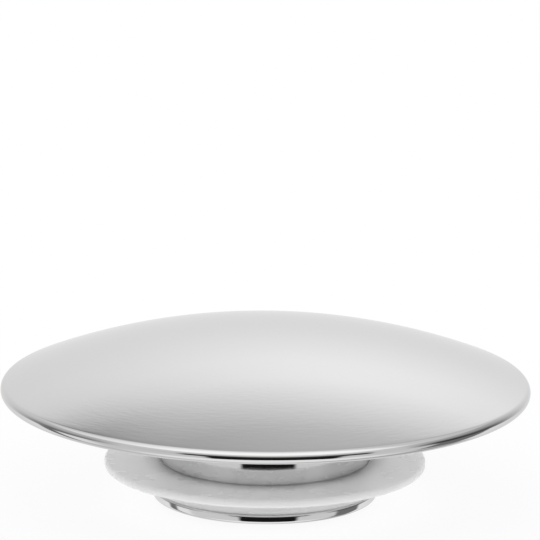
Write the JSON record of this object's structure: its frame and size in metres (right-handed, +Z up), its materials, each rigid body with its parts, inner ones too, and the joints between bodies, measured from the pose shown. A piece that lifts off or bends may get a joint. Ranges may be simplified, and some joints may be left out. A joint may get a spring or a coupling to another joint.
{
  "type": "drain stopper",
  "caption": "Round pop-up drain stopper: polished domed cap, hollow neck with a lip, threaded boss for the spindle and a soft sealing gasket on the neck.",
  "frame": {"origin": "on the axis of the stopper, in the plane of the boss's end, which it stands on", "axes": "+Z up along the axis, from the boss's end to the top of the dome"},
  "size_m": [0.066, 0.066, 0.0217],
  "materials": {
    "chrome_plate": "polished nickel-chrome plate on brass",
    "silicone": "translucent white moulded silicone, satin"
  },
  "bodies": {
    "stopper": {"dome_cap": "chrome_plate", "neck": "chrome_plate", "threaded_boss": "chrome_plate"},
    "seal": {"gasket": "silicone"}
  },
  "joints": [
    {"name": "gasket_slide", "type": "slide", "parent": "stopper", "child": "seal", "axis": [0, 0, 1], "range_m": [0, 0.0116]}
  ]
}
